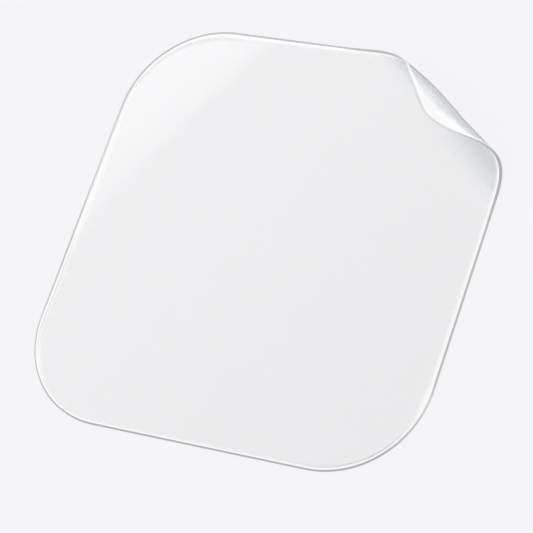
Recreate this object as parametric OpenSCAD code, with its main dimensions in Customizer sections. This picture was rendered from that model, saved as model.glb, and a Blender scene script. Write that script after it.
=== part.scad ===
// Clear screen protector film for a nearly square smartwatch, lying on its
// back face with one corner peeled up and rolled over.
// Frame: millimetres, +X right, +Y up the watch face, +Z out of the back face plane.

/* [Film] */

// Height of the film along Y
film_h = 38; // [30:0.5:50]

// Width of the film along X
film_w = 37.3; // [30:0.1:50]

// Radius of the four corners, seen flat
corner_r = 8.6; // [6:0.1:10]

// Thickness of the film
film_t = 0.25; // [0.15:0.01:0.4]

/* [Edge] */

// Width of the rounded edge, measured inwards on the front
edge_w = 0.5; // [0.2:0.05:0.8]

// Height of the upright rim left below the rounding
rim_h = 0.07; // [0.03:0.01:0.12]

/* [Rolled corner] */

// Direction in which the corner is turned up, from +X towards +Y
fold_angle = 57.1; // [52:0.1:60]

// Distance from the middle of the film to the line where it starts to lift
fold_start = 15.96; // [15.4:0.02:16.4]

// How far that line bows back towards the middle, fold_reach from its centre
fold_bow = 0.11; // [0:0.01:0.3]

// Half length of the fold over which the roll changes its radius
fold_reach = 7.6; // [7:0.1:9]

// Length over which the bend grows from flat to its full roundness
lead_in = 2.28; // [1.6:0.02:2.8]

// Radius of the roll at its right end
roll_r_right = 1.7; // [1.4:0.05:2.2]

// Radius of the roll halfway
roll_r_mid = 1.74; // [1.4:0.05:2.2]

// Radius of the roll at its top end
roll_r_top = 0.53; // [0.5:0.01:1.2]

// How much the roll opens like a fan, sideways shift for each unit rolled up
roll_fan = 0.69; // [0:0.01:0.75]

/* [Hidden] */

// Middle of the corner rounding
cx = film_w / 2 - corner_r;
cy = film_h / 2 - corner_r;

// Directions across the fold and along it
across = [cos(fold_angle), sin(fold_angle)];
along = [-sin(fold_angle), cos(fold_angle)];

// The rolled part is meshed from a straight line just before the film lifts
roll_back = fold_start - 1.75;
roll_side = fold_start - 1.05;

// Steps of the rounded edge, round a flat corner, round the rolled part and across it
edge_steps = 4;
corner_steps = 24;
rows = 48;
steps = 24;

// Edge section as [inset, height], from the foot of the rim to the front face
edge_section = concat(
    [[0, 0]],
    [for (i = [0:edge_steps]) let (a = 90 * i / edge_steps)
        [edge_w * (1 - cos(a)), rim_h + (film_t - rim_h) * sin(a)]]
);

// Outline of the rolled part: top edge, corner, right edge
top_x = (roll_side - film_h / 2 * sin(fold_angle)) / cos(fold_angle);
right_y = (roll_side - film_w / 2 * cos(fold_angle)) / sin(fold_angle);
top_len = cx - top_x;
arc_len = PI / 2 * corner_r;
right_len = cy - right_y;
outline_len = top_len + arc_len + right_len;

// Point of the outline at length s, moved inwards by inset
function outline_point(s, inset) =
    s < top_len
        ? [top_x + s, film_h / 2 - inset]
    : s > top_len + arc_len
        ? [film_w / 2 - inset, cy - (s - top_len - arc_len)]
    : let (a = 90 - (s - top_len) / arc_len * 90)
        [cx + (corner_r - inset) * cos(a), cy + (corner_r - inset) * sin(a)];

// Radius of the roll at place v along the fold
function roll_radius(v) =
    let (t = min(max(v / fold_reach, -1), 1))
    roll_r_mid
        + (roll_r_top - roll_r_right) / 2 * t
        + ((roll_r_top + roll_r_right) / 2 - roll_r_mid) * t * t;

// Where the film starts to lift at place v along the fold
function lift_line(v) = fold_start - fold_bow * pow(v / fold_reach, 2);

// Spiral of growing bend: forward and upward travel for length u turned by w (radians)
function spiral_run(u, w) =
    u * (1 - pow(w, 2) / 10 + pow(w, 4) / 216 - pow(w, 6) / 9360 + pow(w, 8) / 685440);
function spiral_rise(u, w) =
    u * (w / 3 - pow(w, 3) / 42 + pow(w, 5) / 1320 - pow(w, 7) / 75600 + pow(w, 9) / 6894720);

// Angle in degrees from radians
function deg(w) = w * 180 / PI;

// Section of the roll for length u past the lift line: [run, rise]
function roll_section(u, r) =
    u <= 0
        ? [u, 0]
    : u <= lead_in
        ? let (w = u * u / (2 * lead_in * r)) [spiral_run(u, w), spiral_rise(u, w)]
    : let (
        w0 = lead_in / (2 * r),
        w = (u - lead_in / 2) / r
    )
    [
        spiral_run(lead_in, w0) + r * (sin(deg(w)) - sin(deg(w0))),
        spiral_rise(lead_in, w0) + r * (cos(deg(w0)) - cos(deg(w)))
    ];

// Back face of the film at flat place p, once rolled
function back_face(p) =
    let (
        v0 = p * along,
        lift = max(p * across - lift_line(v0), 0),
        v = v0 - roll_fan * lift,
        base = lift_line(v),
        s = roll_section(p * across - base, roll_radius(v)),
        q = (base + s[0]) * across + v0 * along
    )
    lift <= 0 ? [p[0], p[1], 0] : [q[0], q[1], s[1]];

// Direction out of the front face at flat place p, once rolled
function front_side(p) =
    let (
        d = 0.002,
        n = cross(
            back_face(p + [d, 0]) - back_face(p - [d, 0]),
            back_face(p + [0, d]) - back_face(p - [0, d])
        )
    )
    n / norm(n);

// Point at flat place p and height z above the back face, once rolled
function film_point(p, z) = z <= 0 ? back_face(p) : back_face(p) + z * front_side(p);

// The rolled part is a panel that begins at these straight cuts, where the film is flat
cut_x = floor(top_x - 1);
cut_y = floor(right_y - 1);

// Outline point i of the panel, moved inwards by inset: cut, rolled part, cut
function outline(i, inset) =
    i == 0
        ? [cut_x, film_h / 2 - inset]
    : i == rows + 2
        ? [film_w / 2 - inset, cut_y]
    : outline_point(outline_len * (i - 1) / rows, inset);

outline_count = rows + 3;
section_count = len(edge_section);

// Inner point k of row j of the rolled part, from the edge (0) to the straight line (steps)
function row_place(j, k, inset) =
    let (
        rim = outline(j + 1, 0),
        root = rim - (rim * across - roll_back) * across,
        from = outline(j + 1, inset)
    )
    from + (root - from) * k / steps;

// All points: the edge round the outline, the rows of back and front, and the inner corner
panel_points = concat(
    [for (i = [0:outline_count - 1]) for (e = edge_section) film_point(outline(i, e[0]), e[1])],
    [for (j = [0:rows]) for (k = [1:steps]) film_point(row_place(j, k, 0), 0)],
    [for (j = [0:rows]) for (k = [1:steps]) film_point(row_place(j, k, edge_w), film_t)],
    [[cut_x, cut_y, 0], [cut_x, cut_y, film_t]]
);

// Numbers of those points
function edge_id(i, k) = i * section_count + k;
function back_id(j, k) =
    k == 0 ? edge_id(j + 1, 0) : outline_count * section_count + j * steps + k - 1;
function front_id(j, k) =
    k == 0
        ? edge_id(j + 1, section_count - 1)
        : outline_count * section_count + (rows + 1) * steps + j * steps + k - 1;
inner_back = len(panel_points) - 2;
inner_front = len(panel_points) - 1;

panel_faces = concat(
    // The rounded edge
    [for (i = [0:outline_count - 2]) for (k = [0:section_count - 2]) for (h = [0:1])
        h == 0
            ? [edge_id(i, k), edge_id(i + 1, k + 1), edge_id(i, k + 1)]
            : [edge_id(i, k), edge_id(i + 1, k), edge_id(i + 1, k + 1)]],
    // The front and the back of the rolled part
    [for (j = [0:rows - 1]) for (k = [0:steps - 1]) for (h = [0:1])
        h == 0
            ? [front_id(j, k), front_id(j + 1, k + 1), front_id(j, k + 1)]
            : [front_id(j, k), front_id(j + 1, k), front_id(j + 1, k + 1)]],
    [for (j = [0:rows - 1]) for (k = [0:steps - 1]) for (h = [0:1])
        h == 0
            ? [back_id(j, k), back_id(j, k + 1), back_id(j + 1, k + 1)]
            : [back_id(j, k), back_id(j + 1, k + 1), back_id(j + 1, k)]],
    // The flat front and back between the rows and the cuts
    [concat(
        [inner_front, edge_id(0, section_count - 1)],
        [for (k = [0:steps - 1]) front_id(0, k)],
        [for (j = [0:rows]) front_id(j, steps)],
        [for (k = [1:steps]) front_id(rows, steps - k)],
        [edge_id(outline_count - 1, section_count - 1)]
    )],
    [concat(
        [inner_back, edge_id(outline_count - 1, 0)],
        [for (k = [0:steps - 1]) back_id(rows, k)],
        [for (j = [0:rows]) back_id(rows - j, steps)],
        [for (k = [1:steps]) back_id(0, steps - k)],
        [edge_id(0, 0)]
    )],
    // The two cuts
    [concat([for (k = [0:section_count - 1]) edge_id(0, k)], [inner_front, inner_back])],
    [concat(
        [inner_back, inner_front],
        [for (k = [1:section_count]) edge_id(outline_count - 1, section_count - k)]
    )]
);

// Section of the whole film across a straight length, as wide as width
module film_section(width) {
    half = width / 2;
    polygon(concat(
        [for (e = edge_section) [half - e[0], e[1]]],
        [for (i = [1:section_count]) let (e = edge_section[section_count - i])
            [e[0] - half, e[1]]]
    ));
}

// One rounded corner about its own middle
module film_corner() {
    rotate_extrude(angle = 90, $fn = 96)
        polygon(concat(
            [[0, film_t], [0, 0]],
            [for (e = edge_section) [corner_r - e[0], e[1]]]
        ));
}

// The film before its corner is turned up
module flat_film() {
    rotate([90, 0, 0])
        linear_extrude(2 * cy, center = true)
            film_section(film_w);
    rotate([90, 0, 90])
        linear_extrude(2 * cx, center = true)
            film_section(film_h);
    translate([-cx, cy, 0])
        rotate([0, 0, 90])
            film_corner();
    translate([-cx, -cy, 0])
        rotate([0, 0, 180])
            film_corner();
    translate([cx, -cy, 0])
        rotate([0, 0, 270])
            film_corner();
}

module protector_film() {
    color([0.93, 0.94, 0.95, 0.5])
        union() {
            difference() {
                flat_film();
                translate([cut_x, cut_y, -1])
                    cube([film_w, film_h, 3]);
            }
            polyhedron(panel_points, panel_faces, convexity = 6);
        }
}

protector_film();
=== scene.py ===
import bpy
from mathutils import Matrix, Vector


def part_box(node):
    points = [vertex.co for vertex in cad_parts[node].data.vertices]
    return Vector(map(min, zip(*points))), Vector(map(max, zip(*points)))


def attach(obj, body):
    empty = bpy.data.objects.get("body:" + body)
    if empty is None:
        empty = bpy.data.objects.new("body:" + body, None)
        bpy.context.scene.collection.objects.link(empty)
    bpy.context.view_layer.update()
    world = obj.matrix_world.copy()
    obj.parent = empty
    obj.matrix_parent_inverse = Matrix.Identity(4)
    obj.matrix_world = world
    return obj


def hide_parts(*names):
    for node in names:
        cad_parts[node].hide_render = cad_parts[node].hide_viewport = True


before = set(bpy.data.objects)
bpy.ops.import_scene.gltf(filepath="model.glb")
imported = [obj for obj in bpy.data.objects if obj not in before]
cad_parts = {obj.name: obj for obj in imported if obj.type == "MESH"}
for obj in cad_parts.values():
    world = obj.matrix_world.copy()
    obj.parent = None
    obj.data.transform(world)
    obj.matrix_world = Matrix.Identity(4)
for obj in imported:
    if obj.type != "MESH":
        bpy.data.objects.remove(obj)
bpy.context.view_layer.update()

import math

import bpy
import numpy as np
from mathutils import Matrix, Vector

mm = 0.001  # everything below is in metres


def hexColour(code, alpha=1.0):
    # sRGB hex to linear light, the formula of the sRGB curve
    channels = [int(code[i:i + 2], 16) / 255 for i in (1, 3, 5)]
    linear = [c / 12.92 if c <= 0.04045 else ((c + 0.055) / 1.055) ** 2.4 for c in channels]
    return (*linear, alpha)


def addNode(tree, kind, settings=None, inputs=None):
    # One node with its settings, its input values and the links that feed it. A node given as
    # an input feeds it with its first output. The setting "stops" fills a colour ramp. Inputs
    # go by number where the node has several of one name or none.
    node = tree.nodes.new(kind)
    for name, value in (settings or {}).items():
        if name != "stops":
            setattr(node, name, value)
            continue
        elements = node.color_ramp.elements
        for i, (place, colour) in enumerate(value):
            stop = elements[i] if i < 2 else elements.new(place)
            stop.position = place
            stop.color = colour
    for name, value in (inputs or {}).items():
        if isinstance(value, bpy.types.Node):
            value = value.outputs[0]
        if isinstance(value, bpy.types.NodeSocket):
            tree.links.new(value, node.inputs[name])
        else:
            node.inputs[name].default_value = value
    return node


def newMaterial(name):
    # an empty material, and its node tree
    material = bpy.data.materials.new(name)
    material.use_nodes = True
    material.node_tree.nodes.clear()
    return material, material.node_tree


nodeLow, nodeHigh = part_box("protector_film")

film = {
    "height": nodeHigh[1] - nodeLow[1],
    "width": nodeHigh[0] - nodeLow[0],
    "cornerRadius": 8.6 * mm,
    "thickness": 0.25 * mm,
    "edgeWidth": 0.5 * mm,    # rounded edge, measured inwards on the front
    "rimHeight": 0.07 * mm,   # upright rim below the rounding
    "footRadius": 0.02 * mm,  # broken corner where the rim meets the back
    # steps of the outline: a straight side, a flat corner, the stretch that is rolled up
    "straightSteps": 24,
    "cornerSteps": 72,
    "rollSteps": 260,
    # steps of the section: the rounding, its foot, then the face near the middle and further out
    "edgeSteps": 10,
    "footSteps": 4,
    "flatSteps": 6,
    "liftSteps": 56,
    "liftShare": 0.66,        # the finer steps begin this far out from the middle
    # the stretch that is rolled up starts here: x on the top edge, y on the right edge
    "rolledFrom": (-3.5 * mm, 4 * mm),
    "backShift": 0.12 * mm,   # the edge's painted grey shade line is this much narrower on the back
    "creaseAngle": math.radians(48.6),  # from +X to the way the painted shade and highlight of the bend run
    "creaseStart": 16.32 * mm,          # from the middle, where they begin
}

# how the edge's painted grey shade line and painted white highlight look on their way round the
# film, clockwise from the top left
edgeRound = {
    "looks": (
        "shadeLineWidth",    # of the painted grey shade line, as a share of the width listed with the material
        "shadeLineTone",     # its greyness
        "paintedHighlightWidth",    # mm over which the painted white highlight fades inwards
        "paintedHighlightTone",     # how solid the painted highlight looks at first
        "secondPlace",  # second painted grey shade line, mm in from the outline
        "secondHalf",   # half its width, mm
        "secondTone",   # its strength
    ),
    # share of the way round, then the looks in that order
    "places": [
        # top edge
        (0.000, 1.20, 1.00, 0.20, 0.60, 0.78, 0.30, 0.20),
        (0.015, 1.20, 1.00, 0.40, 0.60, 0.78, 0.30, 0.00),
        (0.050, 1.20, 1.00, 0.50, 0.50, 0.75, 0.10, 0.00),
        (0.090, 1.00, 1.00, 0.45, 0.60, 0.75, 0.10, 0.00),
        (0.120, 0.55, 0.90, 0.40, 0.60, 0.75, 0.10, 0.00),
        (0.145, 0.50, 0.70, 0.30, 0.60, 0.75, 0.10, 0.00),
        # rolled corner
        (0.163, 1.20, 0.60, 0.10, 0.70, 0.75, 0.10, 0.00),
        (0.170, 1.30, 0.50, 0.12, 0.70, 0.75, 0.10, 0.00),
        (0.210, 1.30, 0.50, 0.12, 0.70, 0.75, 0.10, 0.00),
        (0.220, 1.10, 0.70, 0.15, 0.80, 0.75, 0.10, 0.00),
        (0.230, 0.75, 0.90, 0.30, 0.60, 0.75, 0.10, 0.00),
        # right edge
        (0.250, 0.85, 1.00, 0.30, 0.60, 0.75, 0.10, 0.00),
        (0.270, 0.85, 1.00, 0.30, 0.60, 0.75, 0.10, 0.00),
        (0.290, 0.62, 0.90, 0.25, 0.60, 0.60, 0.10, 0.00),
        (0.390, 0.60, 0.90, 0.30, 0.70, 0.50, 0.10, 0.00),
        # lower right corner
        (0.410, 0.60, 0.60, 0.60, 0.90, 0.36, 0.10, 0.00),
        (0.430, 0.55, 0.80, 0.15, 0.50, 0.33, 0.10, 0.20),
        (0.450, 0.52, 1.00, 0.05, 0.20, 0.30, 0.09, 0.80),
        (0.470, 0.52, 1.00, 0.08, 0.20, 0.34, 0.09, 0.60),
        (0.490, 0.54, 1.00, 0.08, 0.20, 0.36, 0.10, 0.35),
        # bottom edge
        (0.515, 0.55, 1.00, 0.10, 0.30, 0.40, 0.10, 0.00),
        (0.630, 0.58, 1.00, 0.12, 0.30, 0.40, 0.10, 0.00),
        # lower left corner
        (0.690, 0.62, 1.00, 0.12, 0.40, 0.40, 0.10, 0.00),
        (0.715, 0.75, 0.80, 0.60, 0.80, 0.40, 0.10, 0.00),
        (0.737, 1.00, 0.80, 0.40, 0.80, 0.43, 0.09, 0.60),
        # left edge
        (0.763, 1.25, 0.90, 0.80, 0.80, 0.54, 0.09, 0.65),
        (0.793, 1.30, 1.00, 0.80, 0.80, 0.50, 0.09, 0.50),
        (0.824, 1.30, 0.90, 0.90, 0.90, 0.40, 0.08, 0.10),
        (0.855, 1.20, 0.80, 0.90, 0.90, 0.36, 0.08, 0.60),
        (0.885, 1.20, 0.80, 0.60, 0.90, 0.32, 0.08, 0.50),
        # top left corner
        (0.910, 1.40, 0.90, 0.45, 0.80, 0.40, 0.16, 0.45),
        (0.930, 1.40, 1.00, 0.20, 0.60, 0.60, 0.30, 0.30),
        (0.950, 1.45, 1.00, 0.10, 0.50, 0.60, 0.35, 0.30),
        (0.970, 1.35, 1.00, 0.10, 0.50, 0.72, 0.40, 0.30),
        (1.000, 1.20, 1.00, 0.20, 0.60, 0.78, 0.30, 0.20),
    ],
}

rolledCorner = {
    "foldAngle": math.radians(57.1),  # from +X to the way the corner is turned up
    "foldStart": 15.96 * mm,  # from the middle of the film to where it lifts
    "foldBow": 0.11 * mm,     # how far the lift line bows back at foldReach
    "foldReach": 7.6 * mm,    # half length over which the radius changes
    "leadIn": 2.28 * mm,      # the bend grows over this length
    # radius of the roll at its right end, its middle and its top end
    "radiusRight": 1.7 * mm,
    "radiusMid": 1.74 * mm,
    "radiusTop": 0.53 * mm,
    "fan": 0.69,              # sideways shift for each unit rolled up
    "slopeStep": 0.002 * mm,  # the surface's slopes are taken over twice this
}


def liftLine(v):
    # Where the film starts to lift, v along the fold: a shallow parabola
    r = rolledCorner
    return r["foldStart"] - r["foldBow"] * (v / r["foldReach"]) ** 2


def rollRadius(v):
    # Radius of the roll, v along the fold: the parabola through its right end, middle and top
    r = rolledCorner
    t = np.clip(v / r["foldReach"], -1, 1)
    return (r["radiusMid"] + (r["radiusTop"] - r["radiusRight"]) / 2 * t
            + ((r["radiusTop"] + r["radiusRight"]) / 2 - r["radiusMid"]) * t ** 2)


def rollSection(u, radius):
    # Past the lift line the turn grows as u squared over the lead-in (a spiral, summed as its
    # series), then the section is a circle of the given radius. Returns run and rise.
    lead = rolledCorner["leadIn"]
    inLead = np.clip(u, 0, lead)
    w = inLead ** 2 / (2 * lead * radius)
    run = inLead * (1 - w ** 2 / 10 + w ** 4 / 216 - w ** 6 / 9360 + w ** 8 / 685440)
    rise = inLead * (w / 3 - w ** 3 / 42 + w ** 5 / 1320 - w ** 7 / 75600 + w ** 9 / 6894720)
    turn = w + np.maximum(u - lead, 0) / radius
    run = run + radius * (np.sin(turn) - np.sin(w))
    rise = rise + radius * (np.cos(w) - np.cos(turn))
    return np.where(u > 0, run, u), rise


def backFace(p):
    # Flat place p (x, y) of the back face, once rolled. The fold runs along a nearly straight
    # line; beyond it p moves on the roll's section, whose radius depends on the place along
    # the fold that p is traced back to (the rows fan out).
    foldAngle = rolledCorner["foldAngle"]
    across = np.array([math.cos(foldAngle), math.sin(foldAngle)])
    along = np.array([-across[1], across[0]])
    v0 = p @ along
    lift = np.maximum(p @ across - liftLine(v0), 0)
    v = v0 - rolledCorner["fan"] * lift
    base = liftLine(v)
    run, rise = rollSection(p @ across - base, rollRadius(v))
    flat = (base + run)[..., None] * across + v0[..., None] * along
    place = np.concatenate([flat, rise[..., None]], -1)
    still = np.concatenate([p, np.zeros(p.shape[:-1] + (1,))], -1)
    return np.where(lift[..., None] > 0, place, still)


def filmSurface(p, height):
    # Back face plus height along its normal, the cross product of its two slopes
    d = rolledCorner["slopeStep"]
    slopeX = backFace(p + [d, 0]) - backFace(p - [d, 0])
    slopeY = backFace(p + [0, d]) - backFace(p - [0, d])
    normal = np.cross(slopeX, slopeY)
    normal /= np.linalg.norm(normal, axis=-1, keepdims=True)
    return backFace(p) + height[..., None] * normal


def filmOutline():
    # Rounded rectangle, clockwise from the top edge: the middle of the rounding each point
    # belongs to, the direction out of the film there, and the share of the way round. A point
    # is middle + reach * side.
    f = film
    cx, cy = f["width"] / 2 - f["cornerRadius"], f["height"] / 2 - f["cornerRadius"]
    fromX, fromY = f["rolledFrom"]
    arcLength = math.pi / 2 * f["cornerRadius"]
    perMetre = f["rollSteps"] / (cx - fromX + cy - fromY + arcLength)
    # each stretch: where the middle starts and ends, its turn there in degrees, its steps
    stretches = [
        ((-cx, cy), (fromX, cy), 90, 90, f["straightSteps"]),
        ((fromX, cy), (cx, cy), 90, 90, round(perMetre * (cx - fromX))),
        ((cx, cy), (cx, cy), 90, 0, round(perMetre * arcLength)),
        ((cx, cy), (cx, fromY), 0, 0, round(perMetre * (cy - fromY))),
        ((cx, fromY), (cx, -cy), 0, 0, f["straightSteps"]),
        ((cx, -cy), (cx, -cy), 0, -90, f["cornerSteps"]),
        ((cx, -cy), (-cx, -cy), -90, -90, f["straightSteps"]),
        ((-cx, -cy), (-cx, -cy), -90, -180, f["cornerSteps"]),
        ((-cx, -cy), (-cx, cy), -180, -180, f["straightSteps"]),
        ((-cx, cy), (-cx, cy), -180, -270, f["cornerSteps"]),
    ]
    middles, turns = [], []
    for start, end, turnStart, turnEnd, steps in stretches:
        part = np.arange(steps)[:, None] / steps
        middles.append(np.array(start) * (1 - part) + np.array(end) * part)
        turns.append(np.radians(turnStart * (1 - part) + turnEnd * part))
    middle, turn = np.concatenate(middles), np.concatenate(turns)[:, 0]
    side = np.stack([np.cos(turn), np.sin(turn)], -1)
    ring = middle + side * f["cornerRadius"]
    length = np.cumsum(np.linalg.norm(np.roll(ring, -1, 0) - ring, axis=1))
    return middle, side, np.concatenate([[0], length[:-1]]) / length[-1]


def filmProfile():
    # From the middle of the front, over the rounded edge and the rim, to the middle of the
    # back. Each step is a share of the way out, an inset from the outline and a height.
    f = film
    outwards = np.concatenate([
        np.linspace(0, f["liftShare"], f["flatSteps"])[1:-1],
        np.linspace(f["liftShare"], 1, f["liftSteps"]),
    ])
    a = np.linspace(np.pi / 2, 0, f["edgeSteps"])
    inset = f["edgeWidth"] * (1 - np.cos(a))
    height = f["rimHeight"] + (f["thickness"] - f["rimHeight"]) * np.sin(a)
    b = np.linspace(0, np.pi / 2, f["footSteps"])
    footInset = f["footRadius"] * (1 - np.cos(b))
    footHeight = f["footRadius"] * (1 - np.sin(b))
    front = [(s, f["edgeWidth"], f["thickness"]) for s in outwards[:-1]]
    edge = [(1, i, h) for i, h in zip(inset, height)]
    foot = [(1, i, h) for i, h in zip(footInset, footHeight)]
    back = [(s, f["footRadius"], 0) for s in outwards[-2::-1]]
    return np.array(front + edge + foot + back).T


def filmFaces(rows, columns):
    # Quads between neighbouring rows of the grid, which closes on itself, and a fan round the
    # middle of the front and of the back. Returns the corners' numbers and each face's size.
    r, c = np.meshgrid(np.arange(rows - 1), np.arange(columns), indexing="ij")
    nextC = (c + 1) % columns
    quads = np.stack([r * columns + c, r * columns + nextC,
                      (r + 1) * columns + nextC, (r + 1) * columns + c], -1)
    k = np.arange(columns)
    nextK = (k + 1) % columns
    frontMiddle, backMiddle = rows * columns, rows * columns + 1
    last = (rows - 1) * columns
    frontFan = np.stack([np.full(columns, frontMiddle), nextK, k], -1)
    backFan = np.stack([np.full(columns, backMiddle), last + k, last + nextK], -1)
    corners = np.concatenate([quads.ravel(), frontFan.ravel(), backFan.ravel()])
    sizes = np.concatenate([np.full(r.size, 4), np.full(2 * columns, 3)])
    return corners, sizes


def fillMesh(mesh, verts, corners, sizes):
    # whole arrays into the mesh, smooth all over
    mesh.vertices.add(len(verts))
    mesh.vertices.foreach_set("co", verts.astype(np.float32).ravel())
    mesh.loops.add(len(corners))
    mesh.loops.foreach_set("vertex_index", corners.astype(np.int32))
    mesh.polygons.add(len(sizes))
    starts = np.concatenate([[0], np.cumsum(sizes)[:-1]])
    mesh.polygons.foreach_set("loop_start", starts.astype(np.int32))
    mesh.polygons.foreach_set("loop_total", sizes.astype(np.int32))
    mesh.update(calc_edges=True)
    mesh.polygons.foreach_set("use_smooth", np.ones(len(sizes), bool))


def makeFilm():
    share, inset, height = filmProfile()
    middle, side, around = filmOutline()
    reach = (film["cornerRadius"] - inset)[:, None, None]
    flat = (middle + side * reach) * share[:, None, None]
    rows, columns = flat.shape[:2]
    place = filmSurface(flat, np.broadcast_to(height[:, None], (rows, columns)))
    middles = [[0, 0, film["thickness"]], [0, 0, 0]]
    verts = np.concatenate([place.reshape(-1, 3), middles])
    mesh = bpy.data.meshes.new("clearFilm")
    corners, sizes = filmFaces(rows, columns)
    fillMesh(mesh, verts, corners, sizes)

    # values for the material, each with two more for the middles: millimetres in from the
    # outline, millimetres past the crease on the sheet laid flat, and what faces the room
    toEdge = (middle * side).sum(-1) + film["cornerRadius"]
    inwards = inset[:, None] + (1 - share[:, None]) * (toEdge - inset[:, None])
    inwards[height == 0] += film["backShift"]
    crease = film["creaseAngle"]
    pastCrease = flat @ [math.cos(crease), math.sin(crease)] - film["creaseStart"]
    outside = np.repeat((share == 1) | (height == 0), columns)
    values = {
        "inwards": np.append(inwards, [film["width"] / 2] * 2) / mm,
        "pastCrease": np.append(pastCrease, [-film["creaseStart"]] * 2) / mm,
        "outside": np.append(outside, [False, True]),
    }
    knots = np.array(edgeRound["places"]).T
    for name, look in zip(edgeRound["looks"], knots[1:]):
        look = np.interp(around, knots[0], look)
        values[name] = np.append(np.tile(look, rows), [1, 1])
    for name, numbers in values.items():
        mesh.attributes.new(name, "FLOAT", "POINT").data.foreach_set(
            "value", numbers.astype(np.float32))

    piece = bpy.data.objects.new("clear_film", mesh)
    bpy.context.collection.objects.link(piece)
    print("film mesh:", len(verts), "points", len(sizes), "faces")
    return piece


clearFilm = {
    "ior": 1.5,
    "gloss": 0.02,
    "lampTint": "#fdfdfd",      # what is left of a lamp's light after one face
    # painted grey shade line, then painted white highlight, of the edge; mm in from the outline
    # where the line is as wide as listed: colour, how solid it looks
    "paintedEdgeShadeAndHighlight": [
        (0.00, "#abadb0", 1.00),
        (0.19, "#b1b3b6", 1.00),
        (0.24, "#fbfbfb", 1.00),
        (0.38, "#fbfbfb", 0.95),
        (0.50, "#fbfbfb", 0.00),
    ],
    "lineSeenFrom": 0.02,       # the painted grey line gives the colour where it is more solid than this
    "paintedHighlightFrom": 0.32,           # mm in where the painted white highlight begins
    # colour of the second painted grey shade line
    "secondShadeLine": "#b4b6b9",
    # mm past the crease: what one face lets through, darker as painted shade of the bend, and
    # how solid the painted white highlight on it is (a faint stripe at the crease, solid on the
    # flap)
    "bend": [
        (-1.0, "#fcfcfc", 0.00), (-0.2, "#fcfcfc", 0.05), (0.1, "#fcfcfc", 0.04),
        (1.0, "#f9fafa", 0.00), (2.0, "#f1f2f3", 0.00), (3.0, "#ebedee", 0.00),
        (4.2, "#f7f8f8", 0.00), (5.0, "#fdfdfd", 0.00), (5.4, "#fdfdfd", 0.00),
        (5.9, "#fdfdfd", 0.92),
    ],
    # how far the sheet is turned from the eye: what one face lets through
    "grazing": [(0.0, "#ffffff"), (0.40, "#ffffff"), (0.55, "#fbfbfc"), (0.66, "#eeeeef"),
                (0.77, "#d0d2d3"), (0.90, "#b8babc")],
}


def paintedEdgeShadeAndHighlight(tree, own):
    # Painted shade and highlight of the edge: the outer grey line and the white line inside it,
    # scaled to the width it has there. Colour and solid share.
    line = clearFilm["paintedEdgeShadeAndHighlight"]
    reach = line[-1][0]
    along = addNode(tree, "ShaderNodeMath", {"operation": "DIVIDE"},
                    {0: own["inwards"], 1: own["shadeLineWidth"]})
    along = addNode(tree, "ShaderNodeMath", {"operation": "DIVIDE"}, {0: along, 1: reach})
    stops = [(place / reach, hexColour(code, solid)) for place, code, solid in line]
    return addNode(tree, "ShaderNodeValToRGB", {"stops": stops}, {0: along})


def paintedEdgeHighlight(tree, own):
    # Painted white highlight that fades inwards from the line: solid share
    start = clearFilm["paintedHighlightFrom"]
    end = addNode(tree, "ShaderNodeMath", {"operation": "ADD"}, {0: own["paintedHighlightWidth"], 1: start})
    return addNode(tree, "ShaderNodeMapRange", {"interpolation_type": "SMOOTHSTEP"},
                   {0: own["inwards"], 1: start, 2: end, 3: own["paintedHighlightTone"], 4: 0.0})


def secondShadeLine(tree, own):
    # Second painted grey shade line, a tent about its place: solid share
    offLine = addNode(tree, "ShaderNodeMath", {"operation": "SUBTRACT"},
                      {0: own["inwards"], 1: own["secondPlace"]})
    offLine = addNode(tree, "ShaderNodeMath", {"operation": "ABSOLUTE"}, {0: offLine})
    return addNode(tree, "ShaderNodeMapRange", None,
                   {0: offLine, 1: 0.0, 2: own["secondHalf"], 3: own["secondTone"], 4: 0.0})


def bendLook(tree, own):
    # By the millimetres past the crease: tint of the sheet as painted shade of the bend, and how
    # solid the painted white highlight on it is
    bend = clearFilm["bend"]
    first, last = bend[0][0], bend[-1][0]
    along = addNode(tree, "ShaderNodeMapRange", None,
                    {0: own["pastCrease"], 1: first, 2: last, 3: 0.0, 4: 1.0})
    stops = [((place - first) / (last - first), hexColour(code, haze))
             for place, code, haze in bend]
    return addNode(tree, "ShaderNodeValToRGB", {"stops": stops}, {0: along})


def paintedHighlightAndShadeLines(tree, own, bend):
    # Painted light on the film: the edge's painted grey shade line over the painted white
    # highlights of the edge and the bend, and the second painted grey line over both.
    # Returns its colour and its solid share.
    line = paintedEdgeShadeAndHighlight(tree, own)
    solid = line.outputs["Alpha"]
    for other in (paintedEdgeHighlight(tree, own), bend.outputs["Alpha"]):
        solid = addNode(tree, "ShaderNodeMath", {"operation": "MAXIMUM"}, {0: solid, 1: other})
    # the painted grey line's colour where it is seen, as far as its tone there says, and painted
    # white highlight elsewhere
    onEdge = addNode(tree, "ShaderNodeMath", {"operation": "GREATER_THAN"},
                     {0: line.outputs["Alpha"], 1: clearFilm["lineSeenFrom"]})
    onEdge = addNode(tree, "ShaderNodeMath", {"operation": "MULTIPLY"},
                     {0: onEdge, 1: own["shadeLineTone"]})
    white = hexColour(clearFilm["paintedEdgeShadeAndHighlight"][-1][1])
    colour = addNode(tree, "ShaderNodeMix", {"data_type": "RGBA"},
                     {0: onEdge, 6: white, 7: line}).outputs[2]

    onSecond = secondShadeLine(tree, own)
    solid = addNode(tree, "ShaderNodeMix", {"data_type": "FLOAT"},
                    {0: onSecond, 2: solid, 3: 1.0})
    overShare = addNode(tree, "ShaderNodeMath", {"operation": "DIVIDE"},
                        {0: onSecond, 1: solid})
    colour = addNode(tree, "ShaderNodeMix", {"data_type": "RGBA"},
                     {0: overShare, 6: colour, 7: hexColour(clearFilm["secondShadeLine"])}).outputs[2]
    return colour, solid


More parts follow.
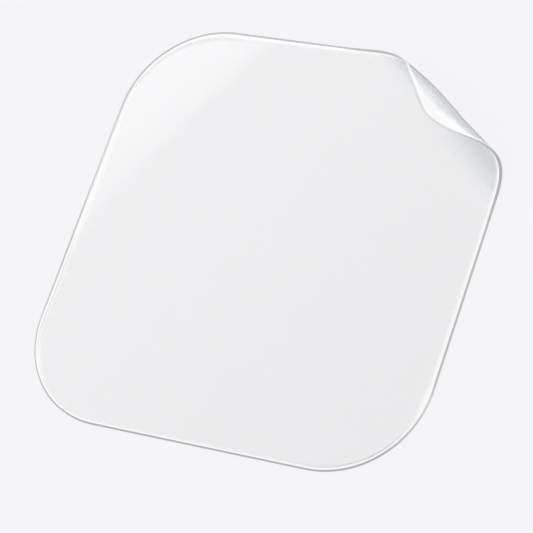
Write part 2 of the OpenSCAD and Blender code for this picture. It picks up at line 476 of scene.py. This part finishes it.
def clearSheet(tree, own, bend):
    # The see-through sheet, greyer by painted shade where it is bent, and greyer where it is
    # seen at a slant
    slant = addNode(tree, "ShaderNodeLayerWeight").outputs["Facing"]
    slant = addNode(tree, "ShaderNodeMath", {"operation": "MULTIPLY"},
                    {0: slant, 1: own["outside"]})
    stops = [(place, hexColour(code)) for place, code in clearFilm["grazing"]]
    grazing = addNode(tree, "ShaderNodeValToRGB", {"stops": stops}, {0: slant})
    tint = addNode(tree, "ShaderNodeMix", {"data_type": "RGBA", "blend_type": "MULTIPLY"},
                   {0: 1.0, 6: bend, 7: grazing}).outputs[2]
    return addNode(tree, "ShaderNodeBsdfTransparent", None, {0: tint})


def clearFilmMaterial():
    # Clear PET film, cast and polished: colourless and glossy on both faces, so that it shows
    # in its edges and in what it reflects more than in its own colour; the lines of its edges
    # and the look of its bend are painted shade and painted highlight
    material, tree = newMaterial("clearPolishedPet")
    own = {name: addNode(tree, "ShaderNodeAttribute", {"attribute_name": name}).outputs["Fac"]
           for name in ("inwards", "pastCrease", "outside", *edgeRound["looks"])}
    fromInside = addNode(tree, "ShaderNodeNewGeometry").outputs["Backfacing"]

    # the painted shade and highlight show only on the face that the eye meets first
    bend = bendLook(tree, own)
    colour, solid = paintedHighlightAndShadeLines(tree, own, bend)
    solid = addNode(tree, "ShaderNodeMix", {"data_type": "FLOAT"},
                    {0: fromInside, 2: solid, 3: 0.0})
    # matt layer that carries the painted shade and highlight
    paintedLightLayer = addNode(tree, "ShaderNodeBsdfDiffuse", None, {"Color": colour})
    body = addNode(tree, "ShaderNodeMixShader", None,
                   {0: solid, 1: clearSheet(tree, own, bend), 2: paintedLightLayer})

    # gloss of both faces; from inside the film the Fresnel node needs the inverse IOR
    ior = addNode(tree, "ShaderNodeMix", {"data_type": "FLOAT"},
                  {0: fromInside, 2: clearFilm["ior"], 3: 1 / clearFilm["ior"]})
    fresnel = addNode(tree, "ShaderNodeFresnel", None, {0: ior})
    gloss = addNode(tree, "ShaderNodeBsdfAnisotropic", None,
                    {"Color": (1, 1, 1, 1), "Roughness": clearFilm["gloss"]})
    glossy = addNode(tree, "ShaderNodeMixShader", None, {0: fresnel, 1: body, 2: gloss})

    # lamps reach the floor through it
    path = addNode(tree, "ShaderNodeLightPath")
    fromLamp = addNode(tree, "ShaderNodeMath", {"operation": "MAXIMUM"},
                       {0: path.outputs["Is Shadow Ray"], 1: path.outputs["Is Diffuse Ray"]})
    through = addNode(tree, "ShaderNodeBsdfTransparent", None,
                      {0: hexColour(clearFilm["lampTint"])})
    surface = addNode(tree, "ShaderNodeMixShader", None, {0: fromLamp, 1: glossy, 2: through})
    addNode(tree, "ShaderNodeOutputMaterial", None, {"Surface": surface})
    print("material:", material.name, len(tree.nodes), "nodes")
    return material


filmPiece = makeFilm()
filmPiece.data.materials.append(clearFilmMaterial())
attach(filmPiece, "root")
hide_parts("protector_film")

gleamSide = (-0.7056, 0.3889, -0.5923)  # into the main softbox, square to its slanted edge

studio = {
    "floorColour": "#f5f5f7",
    "floorSize": 4.0,           # metres
    "floorDrop": 0.03 * mm,     # keeps the floor clear of the film's back
    "worldStrength": 1.0,       # the even light on matt faces
    # what gloss sees of the room, by the height it looks up to (sine of the elevation)
    "room": [(0.0, 0.7), (0.5, 0.92), (0.80, 1.05), (0.84, 0.95), (0.90, 0.6), (1.0, 0.8)],
    # softboxes: brightness, and for each side its direction, where it begins and is full
    "softboxes": {
        "main": (1.05, [(gleamSide, -0.004, 0.006), ((0, 0, -1), -0.82, -0.785),
                        ((0, 1, 0), 0.15, 0.25)]),
        "mainGlow": (0.15, [(gleamSide, -0.10, 0.0), ((0, 1, 0), 0.15, 0.25)]),
        "flap": (0.5, [((0, 0, 1), 0.42, 0.62), ((0, 1, 0), 0.45, 0.6),
                       ((0, 0, -1), -0.97, -0.93)]),
    },
}


def makeFloor():
    # one matt white square under the film
    half = studio["floorSize"] / 2
    z = -studio["floorDrop"]
    mesh = bpy.data.meshes.new("paleFloor")
    mesh.from_pydata([(-half, -half, z), (half, -half, z), (half, half, z), (-half, half, z)],
                     [], [(0, 1, 2, 3)])
    floor = bpy.data.objects.new("pale_floor", mesh)
    bpy.context.collection.objects.link(floor)
    material, tree = newMaterial("mattPaper")
    shader = addNode(tree, "ShaderNodeBsdfDiffuse", None,
                     {"Color": hexColour(studio["floorColour"])})
    addNode(tree, "ShaderNodeOutputMaterial", None, {"Surface": shader})
    mesh.materials.append(material)
    print("floor:", studio["floorColour"])


def makeWorld():
    # even light for matt faces, and a room with softboxes for what gloss mirrors
    world = bpy.data.worlds.new("softStudio")
    world.use_nodes = True
    world.node_tree.nodes.clear()
    tree = world.node_tree
    path = addNode(tree, "ShaderNodeLightPath")
    direction = addNode(tree, "ShaderNodeTexCoord").outputs["Generated"]

    # the room by height, then each softbox: the directions on the full side of all its planes
    height = addNode(tree, "ShaderNodeSeparateXYZ", None, {0: direction}).outputs["Z"]
    brightest = max(v for z, v in studio["room"])
    lit = addNode(tree, "ShaderNodeValToRGB",
                  {"stops": [(z, (v / brightest,) * 3 + (1,)) for z, v in studio["room"]]},
                  {0: height})
    lit = addNode(tree, "ShaderNodeMath", {"operation": "MULTIPLY"}, {0: lit, 1: brightest})
    for strength, sides in studio["softboxes"].values():
        box = strength
        for axis, start, end in sides:
            dot = addNode(tree, "ShaderNodeVectorMath", {"operation": "DOT_PRODUCT"},
                          {0: direction, 1: axis})
            inside = addNode(tree, "ShaderNodeMapRange", {"interpolation_type": "SMOOTHSTEP"},
                             {0: dot.outputs["Value"], 1: start, 2: end, 3: 0.0, 4: 1.0})
            box = addNode(tree, "ShaderNodeMath", {"operation": "MULTIPLY"},
                          {0: box, 1: inside})
        lit = addNode(tree, "ShaderNodeMath", {"operation": "ADD"}, {0: lit, 1: box})
    level = addNode(tree, "ShaderNodeMix", {"data_type": "FLOAT"},
                    {0: path.outputs["Is Glossy Ray"], 2: studio["worldStrength"], 3: lit})
    light = addNode(tree, "ShaderNodeBackground", None,
                    {"Color": (1, 1, 1, 1), "Strength": level})
    addNode(tree, "ShaderNodeOutputWorld", None, {"Surface": light})
    bpy.context.scene.world = world
    print("studio softboxes:", ", ".join(studio["softboxes"]))


makeFloor()
makeWorld()

cameraView = {
    "aim": (0.485 * mm, -2.28 * mm, 0),
    "azimuth": -35.62,    # from +X, degrees
    "elevation": 56.81,
    "roll": -39.55,
    "distance": 225.26 * mm,
    "lens": 180.66,       # mm
    "sensor": 36,         # mm wide
    "clip": (0.01, 20),   # metres
}


def makeCamera():
    # looks at the aim from a place on a sphere round it, and is then rolled about its view
    v = cameraView
    a, e = math.radians(v["azimuth"]), math.radians(v["elevation"])
    back = Vector((math.cos(a) * math.cos(e), math.sin(a) * math.cos(e), math.sin(e)))
    data = bpy.data.cameras.new("photoCamera")
    data.lens = v["lens"]
    data.sensor_width = v["sensor"]
    data.clip_start, data.clip_end = v["clip"]
    camera = bpy.data.objects.new("photoCamera", data)
    bpy.context.collection.objects.link(camera)
    turn = (-back).to_track_quat("-Z", "Y") @ Matrix.Rotation(
        math.radians(v["roll"]), 3, "Z").to_quaternion()
    camera.rotation_mode = "QUATERNION"
    camera.rotation_quaternion = turn
    camera.location = Vector(v["aim"]) + back * v["distance"]
    bpy.context.scene.camera = camera
    print("camera:", round(v["distance"] / mm), "mm away")


makeCamera()
bpy.context.scene.view_settings.view_transform = "Standard"
